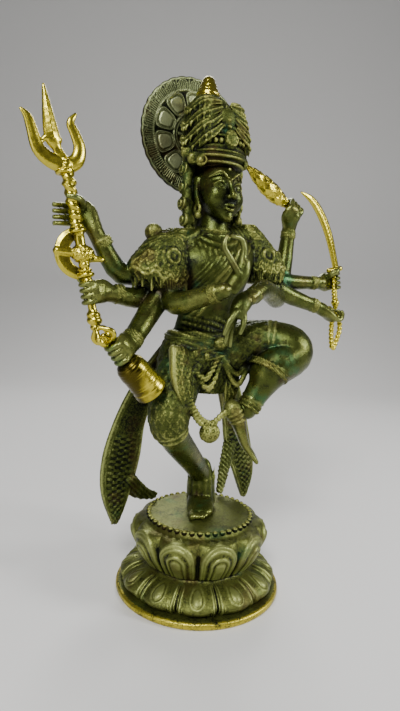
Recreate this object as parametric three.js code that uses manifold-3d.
// Eight-armed Shiva in a dance pose on a double lotus pedestal, cast bronze.
// Millimetres, +Z up, the figure faces -Y, its own left is +X.
// The origin is the centre of the pedestal's flat underside.
import * as THREE from 'three';
import Module from 'manifold-3d';
import { mergeVertices } from 'three/addons/utils/BufferGeometryUtils.js';

const wasm = await Module();
wasm.setup();

// Overall sizes
const PLATE_RADIUS = 75;
const PLATEAU_HEIGHT = 68.5;
const CASTING_GAP = 0.3;
const CLEARANCE = 0.55;
const CLEARANCE_TOLERANCE = 0.2;
const WELD = 0.0001;
const SCRAP_VOLUME = 150;
const CASTING_TOLERANCE = 1.8;
// How far each finished node may leave its full form when small faces are merged
const TOLERANCE = { figure: 0.12, pedestal: 0.5, halo: 0.01, trident: 0.6, bell: 0.45, held: 0.3 };

const PLATE_PROFILE = [[0, 0], [73, 0], [PLATE_RADIUS, 1.8], [PLATE_RADIUS, 4.2], [73, 6], [0, 6.6]];
const PLATE_SIDES = 36;
// Rings of the lotus above the plate: radius, height, number of petals, swell, turn of the petals in degrees
const LOWER = 12;
const UPPER = 10;
const UPPER_TURN = 12.5;
const PEDESTAL_RINGS = [
  [62, 5.5, LOWER, 4, 0], [67, 9.5, LOWER, 6, 0], [68, 14, LOWER, 6, 0], [61, 20.5, LOWER, 4, 0],
  [48.5, 25.5, 1, 0, 0], [49.5, 30, UPPER, 2, UPPER_TURN], [56, 41, UPPER, 5, UPPER_TURN],
  [59.5, 52, UPPER, 6, UPPER_TURN], [56.5, 61, UPPER, 4, UPPER_TURN], [50, 64, 1, 0, 0], [46, 68.5, 1, 0, 0],
];
const PEDESTAL_SIDES = 60;
const PETAL_ROUNDNESS = 0.6;
const BEAD_RING_RADIUS = 47;
const BEAD_WIRE = 2.4;
const BEAD_SINK = 0.7;

// Halo disc behind the head
const HALO_CENTRE = [-2, 40, 414];
const HALO_RADIUS = 52.5;
const HALO_THICKNESS = 4;
const HALO_BEVEL = 0.6;
const HALO_SIDES = 36;

// Head, crown and neck
const HEAD_SKULL = { at: [2, 0, 364], half: [19, 20.5, 20] };
const FACE_PATH = [[2, -3, 361], [3, -6.5, 349], [3.6, -10, 340.5]];
const FACE_RADII = [18.6, 16, 9.4];
const NOSE_PATH = [[2.2, -22, 364], [2.6, -26.5, 352]];
const NOSE_RADII = [2.2, 3.4];
const NECK_PATH = [[2, 2, 346], [2, 3, 332], [2, 4, 316]];
const NECK_RADII = [11.5, 12.5, 17];
// height, centre x, centre y, half width, half depth, sideways tilt in degrees
const CROWN = [
  [377, 2, 5, 22, 23, 2], [384, 2, 5.5, 25.5, 26, 2], [392, 2, 7, 26.5, 27, 2],
  [402, 1.5, 9, 25.5, 26.5, 2], [414, 1, 11, 26, 25.5, 1], [425, 0.5, 13, 23.5, 23, 0],
  [434, 0, 16, 18, 18, 0], [441, 0, 18, 11.5, 11.5, 0],
];
const FINIAL = [
  [0, -3], [9.5, -3], [11.2, 0.5], [9.8, 3.5], [8.6, 5],
  [8.2, 9], [6.2, 14], [2.6, 17.6], [0, 18.4],
];
const FINIAL_FOOT = [0, 18.5, 441];
const FINIAL_TIP = [0, 18.5, 460];
const CROWN_LOCKS = [
  [[7, -10, 428], [20, -6, 426], [27, 8, 419]],
  [[8, -13, 420], [22, -9, 412], [28.5, 8, 404]],
  [[8, -16, 410], [21, -12, 400], [27.5, 6, 391]],
];
const LOCK_RADII = [3, 4.2, 2.6];
const HAIR_CURLS = [
  [25, 9, 376, 7], [25, 9, 368, 5], [25, 9, 361, 6.8], [26, 8, 354, 5],
  [26, 8, 347, 7], [26, 7, 340, 5], [25, 6, 333, 6.8], [23, 6, 325, 5],
];
const CURL_DROP = 2;
const HEAD_AXIS_X = 2;
const HEAD_BACK = { path: [[2, 14, 372], [2, 18, 350], [2, 16, 330]], radii: [20, 19, 12] };
const CROWN_BRIM = { at: [2, 6, 386.5], along: [-0.04, -0.08, 1], radius: 25.6, wire: 2.6 };
const CROWN_JEWELS = [{ at: [2, -19, 396], half: [7, 4, 9] }, { at: [1.5, -13, 414], half: [9, 4.5, 10] }];

// Trunk: height, centre x, centre y, half width, half depth, sideways tilt in degrees
const TRUNK = [
  [218, -6, 2, 30, 20, 0], [232, -6, 1, 28, 19, 0], [242, -6, 0, 25.5, 17.5, 0], [256, -3, -1, 26, 18, 1],
  [273, 2, -2, 31, 20, 4], [290, 4, -3, 35, 22, 6], [304, 4, -1, 39, 20, 8], [315, 3, 2, 33, 15, 8.7],
  [323, 2, 4, 16, 12, 8.7],
];
const HIPS = [
  [236, -6, 1, 31, 21.5, 0], [228, -6, 1, 35, 24, 0], [216, -5, 1, 40, 27, 0], [203, -4, 0, 39, 27, 0],
  [192, 0, -1, 29, 24, 0], [182, 2, -2, 21, 20, 0],
];
const RIGHT_SLEEVE = [
  [322, -33, 2, 8, 8, 0], [314, -42, 1, 16, 13, 0], [302, -48, 0, 21, 17, 0], [290, -52, -1, 26, 19, 0],
  [279, -51, -2, 24, 20, 0], [270, -45, -3, 17, 18, 0],
];
const LEFT_SLEEVE = [
  [334, 39, 4, 8, 8, 0], [325, 44, 3, 13, 12, 0], [314, 50, 2, 18, 15, 0], [303, 55, 1, 22, 18, 0],
  [292, 56, 0, 23, 19, 0], [282, 56, -1, 16, 17, 0],
];
const SHOULDER_SCROLLS = [[-55, 4, 317, 7.5], [44, 4, 329, 7]];
// Cape over the shoulders, from sleeve to sleeve past the neck
const YOKE = {
  path: [[-44, 2, 307], [-22, 3, 314], [2, 4, 319], [26, 4, 322], [46, 3, 320]],
  radii: [12, 10, 9, 9, 11],
};

// Arms: shoulder, elbow and wrist, with the radius at each
const ARMS = [
  { path: [[-46, 6, 296], [-80, 8, 281], [-103, 10, 312]], radii: [11, 9, 6.6] },
  { path: [[-44, 4, 284], [-64, 2, 263], [-93, -1, 264]], radii: [11, 9, 6.8] },
  { path: [[-42, -4, 280], [-58, -7, 256], [-87, -25, 223]], radii: [11, 9.8, 7.6] },
  { path: [[-42, -8, 276], [-44, -20, 259], [-20, -53, 270]], radii: [10.5, 9.5, 6.8] },
  { path: [[54, 6, 302], [84, 8, 288], [93, 8, 338]], radii: [11, 9.5, 6.2] },
  { path: [[56, 4, 294], [84, 4, 286], [130, -1, 287]], radii: [10.5, 8.4, 5.6] },
  { path: [[56, 0, 288], [84, -1, 274], [127, -8, 261]], radii: [10.5, 8.6, 6] },
  { path: [[58, -4, 286], [66, -12, 268], [34, -34, 275], [12, -45, 266]], radii: [10.5, 8.8, 8, 6.4] },
];
const ARM_SIDES = 7;
const ARM_RINGS = 6;

// Hands that close round a shaft: centre of the grip, direction of the shaft and of the forearm, shaft radius
const FISTS = [
  {
    ofArm: 0,
    at: [-121.3, 8.2, 325],
    shaft: [-0.19, 0.064, 0.98],
    arm: [-0.8, -0.05, 0.35],
    grip: 4.6,
    behind: true,
  },
  { ofArm: 1, at: [-109.4, 1.8, 263.6], shaft: [-0.19, 0.064, 0.98], arm: [-1, -0.1, 0.1], grip: 3.6 },
  { ofArm: 2, at: [-97, -30.5, 220], shaft: [-0.62, -0.1, 0.78], arm: [-0.62, -0.4, -0.6], grip: 3.2 },
  { ofArm: 4, at: [92, 3, 356], shaft: [0.85, 0.02, -0.5], arm: [0.1, 0, 1], grip: 3.2 },
  { ofArm: 5, at: [146.6, -3, 290], shaft: [-0.19, 0, 0.98], arm: [1, -0.1, 0.05], grip: 3.2 },
  { ofArm: 6, at: [144.5, -10, 255.5], shaft: [0, 1, 0.1], arm: [0.9, -0.15, -0.35], grip: 2.4 },
];
const FINGER_RADIUS = 2.3;
const FINGER_PITCH = 4.7;
// Where the fingers and the thumb lie round the shaft: angle in degrees, and how far they stand off it
const WRAPPED_FINGER = [[118, 0], [70, 0], [15, 0], [-40, 0], [-85, 0]];
const LOOSE_FINGER = [[125, 0], [80, 0], [35, 1.5], [12, 6], [2, 11]];
const THUMB_ANGLES = [165, 215, 262, 310];
const FINGERS = 4;
const FINGER_TAPER = 0.07;
const THUMB_RADII = [3.4, 3, 2.7, 2.1];
const THUMB_OFF = 0.6;
const THUMB_START = 1.1;
const THUMB_RISE = 0.45;
const PALM_END = { angle: 128, off: 1 };
const PALM_MIDDLE = { angle: 160, off: 5 };
const PALM_HALF_WIDTH = 9.4;
const PALM_FLATNESS = 0.5;
const WRIST_RADIUS = 6;
const OPEN_HAND_ACROSS = [0.5, 0.8, 0];

// Open hands: paths of the palm and fingers with a radius at each point
const OPEN_HANDS = [
  { path: [[-14, -55, 272], [-6, -55, 283], [-3, -55, 294]], radii: [6.6, 7.4, 5.4], flat: 0.62 },
  { path: [[-9, -57, 284], [-19, -58, 296], [-24.5, -58, 304], [-22, -58, 312]], radii: [3.2, 2.5, 2.2, 1.6] },
  { path: [[-4, -54, 296], [-3.5, -55, 304], [-8, -56, 311], [-17, -57, 312]], radii: [3.6, 2.8, 2.5, 1.8] },
  { path: [[-2, -51, 294], [1, -50, 303], [-1, -50, 311]], radii: [3.2, 2.6, 1.8] },
  { path: [[0, -48, 290], [4, -46, 299], [5, -44, 307]], radii: [3, 2.4, 1.7] },
  { path: [[11, -45, 267], [2, -48, 261], [-4, -49, 252]], radii: [6.6, 8, 6.4], flat: 0.6 },
  { path: [[-6, -52, 254], [-13, -53, 246], [-16.5, -52, 236]], radii: [3.1, 2.6, 1.7] },
  { path: [[-6, -49, 251], [-11, -49, 240], [-12.5, -48, 229]], radii: [3.1, 2.6, 1.7] },
  { path: [[-3, -46, 250], [-6, -46, 238], [-5.5, -45, 226]], radii: [3.1, 2.6, 1.7] },
  { path: [[3, -49, 256], [2, -52, 246], [-1, -52, 237]], radii: [3.2, 2.7, 1.9] },
];

// Legs and feet
const STANDING_LEG = {
  path: [
    [-22, 0, 208], [-36, -10, 188], [-47, -20, 166], [-40, -18, 148],
    [-24, -10, 130], [-6, 2, 112], [5, 9, 98], [7, 12, 82],
  ],
  radii: [23, 20, 15.5, 13, 11.5, 10.2, 10, 10.4],
};
const STANDING_HEM = { path: [[-36, -9, 184], [-45, -18, 168], [-46, -19, 158]], radii: [19.5, 18, 15.5] };
const STANDING_FOOT = {
  path: [[11, 20, 79], [5, 8, 78], [-2, -4, 74.6], [-6, -11, 72.6]],
  radii: [9.5, 11.5, 12.6, 11],
  flat: [1, 0.8, 0.48, 0.36],
};
const CUFF = { path: [[4, 8, 107], [6, 10, 92], [7.5, 11, 74]], radii: [9.5, 12.8, 13.4] };
const RAISED_LEG = {
  path: [
    [10, -3, 214], [36, -18, 225], [59, -37, 226], [62, -42, 218],
    [41, -42, 206], [34.5, -40, 193], [28.4, -37.5, 181.6], [22.4, -35, 169.5],
  ],
  radii: [24, 22, 19.5, 18.5, 17.5, 12.6, 10.4, 8.6],
};
const RAISED_FOOT = {
  path: [[8, -33, 171], [13, -35, 161], [16.2, -37, 150], [19.6, -39, 139.5], [27, -41.5, 129]],
  radii: [8, 8.8, 8.4, 8.2, 5],
  flat: [1, 0.76, 0.66, 0.6, 0.5],
};
const RAISED_LEG_ACROSS = [0.3, 1, 0];
const FOOT_ACROSS = [0.86, -0.45, 0.1];
const KNEE_BAND = { at: [38.5, -41, 204.5], along: [-0.55, 0, -0.83], radius: 18.5, wire: 2.2 };
const ANKLET = { at: [24, -35.8, 173], along: [-0.5, 0.1, -0.85], radius: 9.6, wire: 1.8 };

// Cloth: front flap, garland with its ball, and the two scarf ends behind
const FRONT_FLAP = {
  path: [[14, -17, 226], [13, -22, 206], [11, -24, 184], [9, -24, 172]],
  radii: [9, 8, 7, 3.5],
  flat: 0.42,
};
const SIDE_FLAP = {
  path: [[-34, -20, 216], [-38, -26, 200], [-37, -30, 184], [-34, -31, 174]],
  radii: [18, 14, 9, 3],
  flat: 0.34,
};
const SIDE_FLAP_ACROSS = [-0.3, 0.95, 0];
const GARLAND = [
  [-44, -17, 214], [-36, -30, 184], [-24, -31, 164],
  [-12, -31, 158], [-2, -33, 166], [8, -35, 172],
];
const GARLAND_RADIUS = 3.2;
const GARLAND_BALL = { at: [-12.5, -31, 151], half: [9, 7.5, 8.5] };
const SASHES = [
  {
    path: [[-30, 20, 214], [-46, 28, 184], [-58, 33, 152], [-65, 35, 118], [-70, 34, 88], [-71, 32, 57]],
    radii: [9, 12, 15, 18.5, 15, 2.6],
    inner: [[-58, 34, 94], [-44, 38, 80], [-27, 41, 72.5]],
    innerRadii: [9, 8, 4.2],
  },
  {
    path: [[26, 20, 212], [42, 28, 184], [54, 32, 152], [63, 35, 120], [72, 35, 90], [74, 34, 61]],
    radii: [9, 12, 14, 16, 13, 2.6],
    inner: [[52, 32, 118], [44, 28, 96], [37, 24, 73]],
    innerRadii: [8, 6.5, 4.2],
  },
];
const SASH_FLATNESS = [0.5, 0.32, 0.2, 0.17, 0.2, 0.9];
const SASH_BRANCH_FLATNESS = 0.42;
const SASH_BRANCH_ACROSS = [0.2, 1, 0.4];

// Blocks that trim the casting: the round one stands on the pedestal's top, the square one behind the crown
const TRIM_UNDER = { radius: 56, height: 200, sides: 32 };
const TRIM_BEHIND = { width: 110, depth: 40, height: 120 };

// Attributes in the hands
const TRIDENT_FOOT = [-104, 0, 236];
const TRIDENT_FORK = [-128.5, 8, 360];
const TRIDENT_KNOTS = [[0, 3.4], [0.2, 3.3], [0.3, 3.6], [0.62, 4.2], [0.66, 4.6], [1, 4.8]];
const TIP_RISE = 0.01;
const TRIDENT_KNOBS = [[0.005, 4.6], [0.05, 6.2], [0.085, 5.6]];
const KNOB_FLATNESS = 0.7;
const FORK_PRONGS = [
  {
    path: [
      [-128, 8, 358], [-140, 8, 361], [-149, 8, 368], [-153.5, 8, 380], [-157, 8, 389], [-162, 8, 393.5],
    ],
    radii: [6, 6.4, 5.6, 4.4, 3.4, 1.4],
  },
  {
    path: [
      [-128, 8, 358], [-120, 8, 364], [-118, 8, 374], [-122, 8, 384], [-125.5, 8, 391], [-121.5, 8, 398.5],
    ],
    radii: [6, 6.2, 5, 4.2, 3.4, 1.4],
  },
  {
    path: [[-129.5, 8, 360], [-135, 8, 370], [-138.6, 8, 377], [-142, 8, 392], [-146, 8, 414]],
    radii: [5.5, 4, 6.2, 4.8, 1.4],
  },
];
const PRONG_FLATNESS = 0.62;
const AXE_CENTRE = [-116, 6, 294];
const AXE_ARC = {
  radius: 20.6, inner: 12.2, shift: 2.8, from: 96, to: 264, thickness: 4.4, steps: 14, lean: -8,
};
const AXE_COLLAR = { radius: 4.6, wire: 2 };
const AXE_BULB = { at: [-114.6, 5, 293.5], half: [9.5, 7.5, 7.6] };
const AXE_BRIDGE = { path: [[-114, 5.5, 294], [-134, 6, 294.5]], radius: 3.6, tip: 1 };
const AXE_BACK = { path: [[-110, 5, 291], [-99, 4, 290.5]], radius: 3.4, tip: 0.6 };
const AXE_COLLARS = [[-118.8, 5.2, 311], [-112.2, 3, 277.5]];

const SWORD_BLADE = {
  path: [[150, -3, 300], [144, -3, 316], [136, -3, 335], [124.5, -3, 353], [111, -3, 366], [95.5, -3, 372]],
  radii: [4, 4.4, 5, 5, 4, 0.9],
};
const SWORD_FLATNESS = 0.34;
const SWORD_HILT = { from: [151.8, -3, 264], to: [145.8, -3, 298.5], radius: 2.9 };
const SWORD_GUARD = { path: [[139.5, -3, 300], [155, -3, 303.5]], radius: 2.6 };
const SWORD_POMMEL = { at: [151.2, -3, 268], half: [4.2, 4.2, 3.4] };

const FLAME_BUD = {
  path: [[34, 2, 386.5], [44, 2, 380.5], [58, 2, 372], [72, 2.5, 364.5], [84, 3, 359.5], [98, 3.2, 352]],
  radii: [1.2, 5, 8, 7.4, 3.6, 2.8],
};
const FLAME_FLATNESS = 0.7;

const BELL_TOP = [-97, -30.4, 220];
const BELL_MOUTH = [-65.5, -25.3, 188.5];
// along the bell's axis from the fist to the mouth, outside then inside
const BELL_PROFILE = [
  [0, 9], [5, 9.2], [8, 10.8], [10.8, 14], [11.9, 18], [12.1, 25], [12.3, 32], [12.6, 38],
  [13.6, 42.4], [13.6, 44.4], [11.8, 44.4], [10.6, 37], [9.8, 28], [8.6, 21], [0, 18.5],
];
// the room that the bell needs, filled
const BELL_ROOM = [[0, 9], [5, 9], [8.4, 10.4], [11.2, 13.6], [12.2, 18], [12.6, 33], [13.8, 45], [0, 45]];
const BELL_HANDLE = { front: 10, back: 17, radius: 2.5 };
const BELL_PRONGS = [[11, 1, 2], [14, 7, 2.2], [19, 7.8, 2.1], [25, 1.6, 1.4]];
const BELL_PRONG_COUNT = 4;
const PRONG_ACROSS = [0.3, 1, 0.2];
const BELL_SIDES = 12;

const ROSARY_BEAD = 2.9;
const ROSARY_BEADS = 18;
const ROSARY_LOOP = [
  [144.5, -10, 256], [150, -11, 250], [152, -11, 240], [149, -10.5, 229],
  [145, -10, 220.5], [142.5, -10, 229], [142.5, -9, 240], [142.5, -9, 250],
];

const UPWARD = [0, 0, 1];
const vec = (p) => new THREE.Vector3(...p);

// Closed bodies
function toSolid(geometry) {
  const bare = geometry.clone();
  bare.deleteAttribute('normal');
  bare.deleteAttribute('uv');
  const welded = mergeVertices(bare, WELD);
  const mesh = new wasm.Mesh({
    numProp: 3,
    vertProperties: new Float32Array(welded.attributes.position.array),
    triVerts: new Uint32Array(welded.index.array),
  });
  return new wasm.Manifold(mesh);
}

function joined(solids) {
  return solids.reduce((whole, next) => whole.add(next));
}

// Skin of rings of points, each ring with the same count, closed at both ends by a point.
function skin(rings, first, last) {
  const sides = rings[0].length;
  const position = [];
  const index = [];
  rings.forEach((ring) => ring.forEach((p) => position.push(p.x, p.y, p.z)));
  const firstId = rings.length * sides;
  position.push(first.x, first.y, first.z, last.x, last.y, last.z);
  for (let r = 0; r < rings.length - 1; r += 1) {
    for (let s = 0; s < sides; s += 1) {
      const a = r * sides + s;
      const b = r * sides + ((s + 1) % sides);
      index.push(a, b, b + sides, a, b + sides, a + sides);
    }
  }
  for (let s = 0; s < sides; s += 1) {
    const next = (s + 1) % sides;
    const top = (rings.length - 1) * sides;
    index.push(firstId, next, s);
    index.push(firstId + 1, top + s, top + next);
  }
  const geometry = new THREE.BufferGeometry();
  geometry.setAttribute('position', new THREE.Float32BufferAttribute(position, 3));
  geometry.setIndex(index);
  return toSolid(geometry);
}

// Round-ended body along a smooth curve. The thin direction of its section is "across".
function limb(points, radii, { sides, rings, flat = 1, across = [0, 1, 0], capRings = 1 }) {
  const curve = new THREE.CatmullRomCurve3(points.map(vec), false, 'catmullrom', 0.5);
  const flats = Array.isArray(flat) ? flat : points.map(() => flat);
  const sizePoints = radii.map((r, i) => new THREE.Vector3(r, flats[i], 0));
  const sizes = new THREE.CatmullRomCurve3(sizePoints, false, 'catmullrom', 0.5);
  const thinHint = vec(across);
  const loops = [];
  const addLoop = (centre, tangent, radius, flatness) => {
    const thin = thinHint.clone().addScaledVector(tangent, -thinHint.dot(tangent)).normalize();
    const wide = new THREE.Vector3().crossVectors(tangent, thin);
    const loop = [];
    for (let s = 0; s < sides; s += 1) {
      const angle = (s / sides) * Math.PI * 2;
      loop.push(centre.clone()
        .addScaledVector(thin, Math.cos(angle) * radius * flatness)
        .addScaledVector(wide, Math.sin(angle) * radius));
    }
    loops.push(loop);
  };
  const capAngle = (k) => ((k + 1) / (capRings + 1)) * (Math.PI / 2);
  const start = curve.getPoint(0);
  const startDir = curve.getTangent(0);
  const startSize = sizes.getPoint(0);
  const end = curve.getPoint(1);
  const endDir = curve.getTangent(1);
  const endSize = sizes.getPoint(1);
  const bulge = (size) => size.x * Math.min(1, size.y);
  for (let k = capRings - 1; k >= 0; k -= 1) {
    const centre = start.clone().addScaledVector(startDir, -bulge(startSize) * Math.sin(capAngle(k)));
    addLoop(centre, startDir, startSize.x * Math.cos(capAngle(k)), startSize.y);
  }
  for (let r = 0; r <= rings; r += 1) {
    const t = r / rings;
    const size = sizes.getPoint(t);
    addLoop(curve.getPoint(t), curve.getTangent(t), size.x, size.y);
  }
  for (let k = 0; k < capRings; k += 1) {
    const centre = end.clone().addScaledVector(endDir, bulge(endSize) * Math.sin(capAngle(k)));
    addLoop(centre, endDir, endSize.x * Math.cos(capAngle(k)), endSize.y);
  }
  const firstPole = start.clone().addScaledVector(startDir, -bulge(startSize));
  const lastPole = end.clone().addScaledVector(endDir, bulge(endSize));
  return skin(loops, firstPole, lastPole);
}

// Stack of elliptical sections: height, centre x, centre y, half width, half depth, tilt.
function stack(sections, sides) {
  const upward = sections[0][0] < sections[sections.length - 1][0];
  const ordered = upward ? sections : [...sections].reverse();
  const loops = ordered.map(([z, x, y, w, d, tilt]) => {
    const lean = THREE.MathUtils.degToRad(tilt);
    return Array.from({ length: sides }, (_, s) => {
      const angle = (s / sides) * Math.PI * 2;
      const side = Math.cos(angle) * w;
      return new THREE.Vector3(x + side * Math.cos(lean), y + Math.sin(angle) * d, z + side * Math.sin(lean));
    });
  });
  const low = ordered[0];
  const high = ordered[ordered.length - 1];
  return skin(loops, new THREE.Vector3(low[1], low[2], low[0]), new THREE.Vector3(high[1], high[2], high[0]));
}

function ball(at, half, across, down) {
  const size = Array.isArray(half) ? half : [half, half, half];
  const geometry = new THREE.SphereGeometry(1, across, down);
  geometry.rotateX(Math.PI / 2);
  geometry.scale(...size);
  geometry.translate(...at);
  return toSolid(geometry);
}

function hoop(at, along, radius, wire, around, sides) {
  const geometry = new THREE.TorusGeometry(radius, wire, sides, around);
  const turn = new THREE.Quaternion().setFromUnitVectors(new THREE.Vector3(0, 0, 1), vec(along).normalize());
  geometry.applyQuaternion(turn);
  geometry.translate(...at);
  return toSolid(geometry);
}

// Turned body: profile of radius and length, its axis from one point towards another.
function turned(profile, from, towards, sides) {
  const points = profile.map(([radius, length]) => new THREE.Vector2(radius, length));
  const geometry = new THREE.LatheGeometry(points, sides);
  const axis = vec(towards).sub(vec(from)).normalize();
  geometry.applyQuaternion(new THREE.Quaternion().setFromUnitVectors(new THREE.Vector3(0, 1, 0), axis));
  geometry.translate(...from);
  return toSolid(geometry);
}

function between(from, to, share) {
  return from.map((value, i) => value + (to[i] - value) * share);
}

// Figure
function fist({ at, shaft, arm, grip, behind = false }, wrist) {
  const axis = vec(shaft).normalize();
  const out = vec(arm);
  out.addScaledVector(axis, -out.dot(axis)).normalize();
  const side = new THREE.Vector3().crossVectors(axis, out).multiplyScalar(behind ? -1 : 1);
  const reach = grip + FINGER_RADIUS;
  const place = (degrees, radius, shift) => {
    const angle = THREE.MathUtils.degToRad(degrees);
    return vec(at)
      .addScaledVector(axis, shift)
      .addScaledVector(out, Math.cos(angle) * radius)
      .addScaledVector(side, Math.sin(angle) * radius)
      .toArray();
  };
  const digit = { sides: 4, rings: 3, across: axis.toArray() };
  const parts = [];
  const knuckles = place(PALM_END.angle, reach + PALM_END.off, 0);
  const middle = place(PALM_MIDDLE.angle, reach + PALM_MIDDLE.off, 0);
  const palmAcross = vec(knuckles).sub(vec(wrist)).cross(axis).normalize().toArray();
  parts.push(limb([wrist, middle, knuckles], [WRIST_RADIUS, PALM_HALF_WIDTH, PALM_HALF_WIDTH],
    { sides: 7, rings: 3, flat: [1, PALM_FLATNESS, PALM_FLATNESS], across: palmAcross }));
  const bends = behind ? LOOSE_FINGER : WRAPPED_FINGER;
  for (let finger = 0; finger < FINGERS; finger += 1) {
    const shift = (finger - (FINGERS - 1) / 2) * FINGER_PITCH;
    const path = bends.map(([angle, off]) => place(angle, reach + off, shift));
    const radii = bends.map((_, i) => FINGER_RADIUS * (1 - FINGER_TAPER * i));
    parts.push(limb(path, radii, digit));
  }
  const thumbPath = THUMB_ANGLES.map((angle, i) => {
    const shift = (THUMB_START + THUMB_RISE * i) * FINGER_PITCH;
    return place(angle, reach + THUMB_OFF, shift);
  });
  parts.push(limb(thumbPath, THUMB_RADII, digit));
  return parts;
}

function crown() {
  const parts = [stack(CROWN, 16)];
  parts.push(turned(FINIAL, FINIAL_FOOT, FINIAL_TIP, 10));
  [1, -1].forEach((hand) => {
    CROWN_LOCKS.forEach((lock) => {
      const path = lock.map(([x, y, z]) => [HEAD_AXIS_X + hand * (x - 1), y, z]);
      parts.push(limb(path, LOCK_RADII, { sides: 5, rings: 3 }));
    });
    const curls = HAIR_CURLS.map(([x, y, z]) => [HEAD_AXIS_X + hand * x, y, z + hand * CURL_DROP]);
    const thickness = HAIR_CURLS.map((curl) => curl[3]);
    parts.push(limb(curls, thickness, { sides: 6, rings: HAIR_CURLS.length - 1 }));
  });
  parts.push(hoop(CROWN_BRIM.at, CROWN_BRIM.along, CROWN_BRIM.radius, CROWN_BRIM.wire, 16, 5));
  CROWN_JEWELS.forEach(({ at, half }) => parts.push(ball(at, half, 7, 5)));
  return parts;
}

function head() {
  return [
    ball(HEAD_SKULL.at, HEAD_SKULL.half, 12, 8),
    limb(FACE_PATH, FACE_RADII, { sides: 12, rings: 4, capRings: 2 }),
    limb(NOSE_PATH, NOSE_RADII, { sides: 6, rings: 2 }),
    limb(NECK_PATH, NECK_RADII, { sides: 10, rings: 3 }),
    limb(HEAD_BACK.path, HEAD_BACK.radii, { sides: 10, rings: 4 }),
  ];
}

function trunk() {
  const parts = [stack(TRUNK, 14), stack(HIPS, 16), stack(RIGHT_SLEEVE, 10), stack(LEFT_SLEEVE, 10)];
  parts.push(limb(YOKE.path, YOKE.radii, { sides: 7, rings: 5 }));
  SHOULDER_SCROLLS.forEach(([x, y, z, r]) => parts.push(ball([x, y, z], r, 7, 5)));
  return parts;
}

function arms() {
  const parts = ARMS.map(({ path, radii }) => limb(path, radii, { sides: ARM_SIDES, rings: ARM_RINGS }));
  FISTS.forEach((grip) => parts.push(...fist(grip, ARMS[grip.ofArm].path.at(-1))));
  OPEN_HANDS.forEach(({ path, radii, flat }) => {
    parts.push(limb(path, radii, { sides: 5, rings: 2, flat, across: OPEN_HAND_ACROSS }));
  });
  return parts;
}

function legs() {
  return [
    limb(STANDING_LEG.path, STANDING_LEG.radii,
      { sides: 9, rings: 10, across: [1, 0, 0], capRings: 2 }),
    limb(STANDING_HEM.path, STANDING_HEM.radii, { sides: 9, rings: 3 }),
    limb(CUFF.path, CUFF.radii, { sides: 9, rings: 3 }),
    limb(STANDING_FOOT.path, STANDING_FOOT.radii,
      { sides: 9, rings: 4, flat: STANDING_FOOT.flat, across: UPWARD, capRings: 2 }),
    limb(RAISED_LEG.path, RAISED_LEG.radii,
      { sides: 9, rings: 11, across: RAISED_LEG_ACROSS, capRings: 2 }),
    limb(RAISED_FOOT.path, RAISED_FOOT.radii,
      { sides: 8, rings: 4, flat: RAISED_FOOT.flat, across: FOOT_ACROSS }),
    hoop(KNEE_BAND.at, KNEE_BAND.along, KNEE_BAND.radius, KNEE_BAND.wire, 10, 5),
    hoop(ANKLET.at, ANKLET.along, ANKLET.radius, ANKLET.wire, 8, 4),
  ];
}

function cloth() {
  const parts = [
    limb(FRONT_FLAP.path, FRONT_FLAP.radii, { sides: 8, rings: 5, flat: FRONT_FLAP.flat }),
    limb(SIDE_FLAP.path, SIDE_FLAP.radii,
      { sides: 8, rings: 4, flat: SIDE_FLAP.flat, across: SIDE_FLAP_ACROSS }),
    limb(GARLAND, GARLAND.map(() => GARLAND_RADIUS), { sides: 5, rings: 8 }),
    ball(GARLAND_BALL.at, GARLAND_BALL.half, 8, 6),
  ];
  SASHES.forEach(({ path, radii, inner, innerRadii }) => {
    parts.push(limb(path, radii, { sides: 8, rings: 8, flat: SASH_FLATNESS }));
    parts.push(limb(inner, innerRadii,
      { sides: 6, rings: 4, flat: SASH_BRANCH_FLATNESS, across: SASH_BRANCH_ACROSS }));
  });
  return parts;
}

function slab(width, depth, height, at) {
  const geometry = new THREE.BoxGeometry(width, depth, height);
  geometry.translate(...at);
  return toSolid(geometry);
}

function figureSolid(attributes) {
  let casting = joined([...head(), ...crown(), ...trunk(), ...arms(), ...legs(), ...cloth()]);
  casting = casting.asOriginal().simplify(CASTING_TOLERANCE);
  const { radius, height, sides } = TRIM_UNDER;
  const top = PLATEAU_HEIGHT + CASTING_GAP;
  casting = casting.subtract(turned([[0, top - height], [radius, top - height], [radius, top], [0, top]],
    [0, 0, 0], UPWARD, sides));
  const haloFront = HALO_CENTRE[1] - HALO_THICKNESS / 2 - CASTING_GAP;
  const behind = [HALO_CENTRE[0], haloFront + TRIM_BEHIND.depth / 2, HALO_CENTRE[2]];
  casting = casting.subtract(slab(TRIM_BEHIND.width, TRIM_BEHIND.depth, TRIM_BEHIND.height, behind));
  attributes.forEach((clearance) => {
    casting = casting.subtract(clearance);
  });
  return casting;
}

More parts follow.
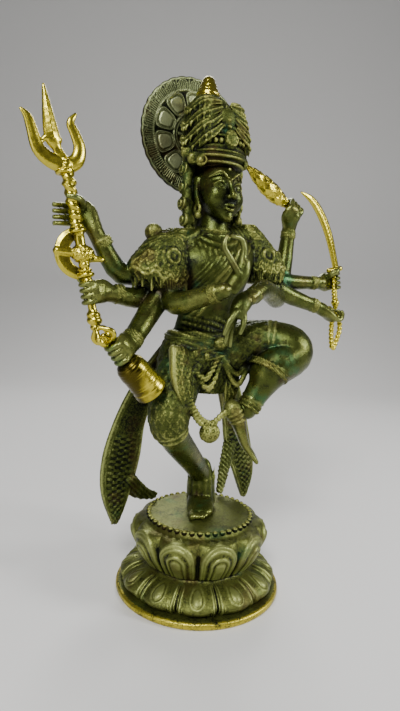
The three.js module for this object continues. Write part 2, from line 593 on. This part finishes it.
// Pedestal and halo
// One skin of rings; petals are lobes that swell the ring's radius.
function pedestalSolid() {
  const loops = PEDESTAL_RINGS.map(([radius, height, lobes, swell, turn]) => {
    const offset = THREE.MathUtils.degToRad(turn);
    return Array.from({ length: PEDESTAL_SIDES }, (_, s) => {
      const angle = (s / PEDESTAL_SIDES) * Math.PI * 2;
      const lobe = Math.abs(Math.cos(((angle + offset) * lobes) / 2)) ** PETAL_ROUNDNESS;
      const reach = radius + swell * (lobe - 0.5);
      return new THREE.Vector3(Math.sin(angle) * reach, -Math.cos(angle) * reach, height);
    });
  });
  const lotus = skin(loops, vec([0, 0, PEDESTAL_RINGS[0][1]]), vec([0, 0, PLATEAU_HEIGHT]));
  const plate = turned(PLATE_PROFILE, [0, 0, 0], UPWARD, PLATE_SIDES);
  const beadLevel = PLATEAU_HEIGHT - BEAD_WIRE * BEAD_SINK;
  const beads = hoop([0, 0, beadLevel], UPWARD, BEAD_RING_RADIUS, BEAD_WIRE, PEDESTAL_SIDES / 2, 5);
  return joined([lotus, plate, beads]);
}

function haloSolid() {
  const [x, y, z] = HALO_CENTRE;
  const half = HALO_THICKNESS / 2;
  const rim = half - HALO_BEVEL;
  const profile = [[0, -half], [HALO_RADIUS, -rim], [HALO_RADIUS, rim], [0, half]];
  return turned(profile, [x, y, z], [x, y + 1, z], HALO_SIDES);
}

// Things held. "spare" widens each for the room cut out of the hands.
const alongTrident = vec(TRIDENT_FORK).sub(vec(TRIDENT_FOOT));

function axeCollars(spare) {
  const along = alongTrident.toArray();
  return AXE_COLLARS.map((at) => hoop(at, along, AXE_COLLAR.radius, AXE_COLLAR.wire + spare, 8, 4));
}

function rod({ path, radius, tip }, spare) {
  return limb(path, [radius + spare, radius * tip + spare], { sides: 6, rings: 2 });
}

function tridentShaft(spare) {
  const length = alongTrident.length();
  const knots = TRIDENT_KNOTS.map(([share, r]) => [r + spare, share * length]);
  return turned([[0, 0], ...knots, [0, length + TIP_RISE]], TRIDENT_FOOT, TRIDENT_FORK, 8);
}

function tridentSolid(spare = 0) {
  const bulb = ball(AXE_BULB.at, AXE_BULB.half.map((h) => h + spare), 9, 6);
  const parts = [tridentShaft(spare), axeBlade(spare), bulb, rod(AXE_BACK, spare), ...axeCollars(spare)];
  if (spare > 0) return joined(parts);
  FORK_PRONGS.forEach(({ path, radii }) => {
    parts.push(limb(path, radii, { sides: 6, rings: 7, flat: PRONG_FLATNESS }));
  });
  TRIDENT_KNOBS.forEach(([share, r]) => {
    parts.push(ball(between(TRIDENT_FOOT, TRIDENT_FORK, share), [r, r, r * KNOB_FLATNESS], 7, 5));
  });
  parts.push(rod(AXE_BRIDGE, 0));
  return joined(parts);
}

// Crescent blade between an outer arc and a shifted inner arc.
function axeBlade(spare) {
  const { radius, inner, shift, from, to, thickness, steps, lean } = AXE_ARC;
  const outline = new THREE.Shape();
  const point = (step, r, dx) => {
    const angle = THREE.MathUtils.degToRad(from + ((to - from) * step) / steps);
    return [Math.cos(angle) * r + dx, Math.sin(angle) * r];
  };
  outline.moveTo(...point(0, radius + spare, 0));
  for (let i = 1; i <= steps; i += 1) {
    outline.lineTo(...point(i, radius + spare, 0));
  }
  for (let i = steps; i >= 0; i -= 1) {
    outline.lineTo(...point(i, inner - spare, shift));
  }
  outline.closePath();
  const deep = thickness + spare * 2;
  const geometry = new THREE.ExtrudeGeometry(outline, { depth: deep, bevelEnabled: false });
  geometry.translate(0, 0, -deep / 2);
  geometry.rotateX(Math.PI / 2);
  geometry.rotateY(THREE.MathUtils.degToRad(lean));
  geometry.translate(...AXE_CENTRE);
  return toSolid(geometry);
}

function swordSolid(spare = 0) {
  const wider = (radii) => radii.map((r) => r + spare);
  const { from, to, radius } = SWORD_HILT;
  return joined([
    limb([from, to], wider([radius, radius]), { sides: 8, rings: 2 }),
    limb(SWORD_GUARD.path, wider([SWORD_GUARD.radius, SWORD_GUARD.radius]), { sides: 8, rings: 2 }),
    limb(SWORD_BLADE.path, wider(SWORD_BLADE.radii), { sides: 6, rings: 9, flat: SWORD_FLATNESS }),
    ball(SWORD_POMMEL.at, wider(SWORD_POMMEL.half), 9, 6),
  ]);
}

function flameSolid(spare = 0) {
  const radii = FLAME_BUD.radii.map((r) => r + spare);
  return limb(FLAME_BUD.path, radii, { sides: 8, rings: 9, flat: FLAME_FLATNESS });
}

function bellSolid(spare = 0) {
  const axis = vec(BELL_MOUTH).sub(vec(BELL_TOP)).normalize();
  const at = (distance) => vec(BELL_TOP).addScaledVector(axis, distance).toArray();
  const room = BELL_ROOM.map(([radius, distance], i) => {
    const wide = radius > 0 ? radius + spare : 0;
    const back = i < 2 ? spare : 0;
    return [wide, distance - back];
  });
  const parts = [turned(spare > 0 ? room : BELL_PROFILE, BELL_TOP, BELL_MOUTH, BELL_SIDES)];
  const { front, back, radius } = BELL_HANDLE;
  parts.push(limb([at(front), at(-back)], [radius + spare, radius + spare], { sides: 8, rings: 2 }));
  const side = new THREE.Vector3(0, 1, 0).cross(axis).normalize();
  for (let prong = 0; prong < BELL_PRONG_COUNT; prong += 1) {
    const turn = ((prong + 0.5) / BELL_PRONG_COUNT) * Math.PI * 2;
    const out = side.clone().applyAxisAngle(axis, turn);
    const path = BELL_PRONGS.map(([distance, reach]) => {
      const foot = vec(at(-distance));
      return foot.addScaledVector(out, reach).toArray();
    });
    const radii = BELL_PRONGS.map((row) => row[2] + spare);
    parts.push(limb(path, radii, { sides: 5, rings: 4, across: PRONG_ACROSS }));
  }
  return joined(parts);
}

function rosarySolid(spare = 0) {
  const loop = new THREE.CatmullRomCurve3(ROSARY_LOOP.map(vec), true, 'catmullrom', 0.5);
  const places = loop.getSpacedPoints(ROSARY_BEADS).slice(1);
  return joined(places.map((place) => ball(place.toArray(), ROSARY_BEAD + spare, 5, 3)));
}

// Nodes and their bronze
const OLIVE_BRONZE = { color: 0x5f6233, roughness: 0.5, metalness: 0.75 };
const DARK_BRONZE = { color: 0x6b6c38, roughness: 0.48, metalness: 0.75 };
const PALE_BRONZE = { color: 0x757a5a, roughness: 0.5, metalness: 0.7 };
const POLISHED_BRASS = { color: 0xb8963c, roughness: 0.32, metalness: 0.9 };

function toMesh(name, solid, look, tolerance) {
  const bodies = solid.asOriginal().simplify(tolerance).decompose();
  const tidy = joined(bodies.filter((body) => body.volume() > SCRAP_VOLUME));
  const { vertProperties, triVerts } = tidy.getMesh();
  const geometry = new THREE.BufferGeometry();
  geometry.setAttribute('position', new THREE.Float32BufferAttribute(vertProperties, 3));
  geometry.setIndex(Array.from(triVerts));
  geometry.computeVertexNormals();
  const mesh = new THREE.Mesh(geometry, new THREE.MeshStandardMaterial(look));
  mesh.name = name;
  return mesh;
}

const group = new THREE.Group();
group.name = 'shiva_nataraja_statue';
const clearances = [tridentSolid, swordSolid, flameSolid, bellSolid, rosarySolid]
  .map((make) => make(CLEARANCE).asOriginal().simplify(CLEARANCE_TOLERANCE));
group.add(toMesh('lotus_pedestal', pedestalSolid(), DARK_BRONZE, TOLERANCE.pedestal));
group.add(toMesh('figure', figureSolid(clearances), OLIVE_BRONZE, TOLERANCE.figure));
group.add(toMesh('halo', haloSolid(), PALE_BRONZE, TOLERANCE.halo));
group.add(toMesh('trident', tridentSolid(), POLISHED_BRASS, TOLERANCE.trident));
group.add(toMesh('sword', swordSolid(), POLISHED_BRASS, TOLERANCE.held));
group.add(toMesh('flame', flameSolid(), POLISHED_BRASS, TOLERANCE.held));
group.add(toMesh('bell', bellSolid(), POLISHED_BRASS, TOLERANCE.bell));
group.add(toMesh('rosary', rosarySolid(), POLISHED_BRASS, TOLERANCE.held));

export default group;
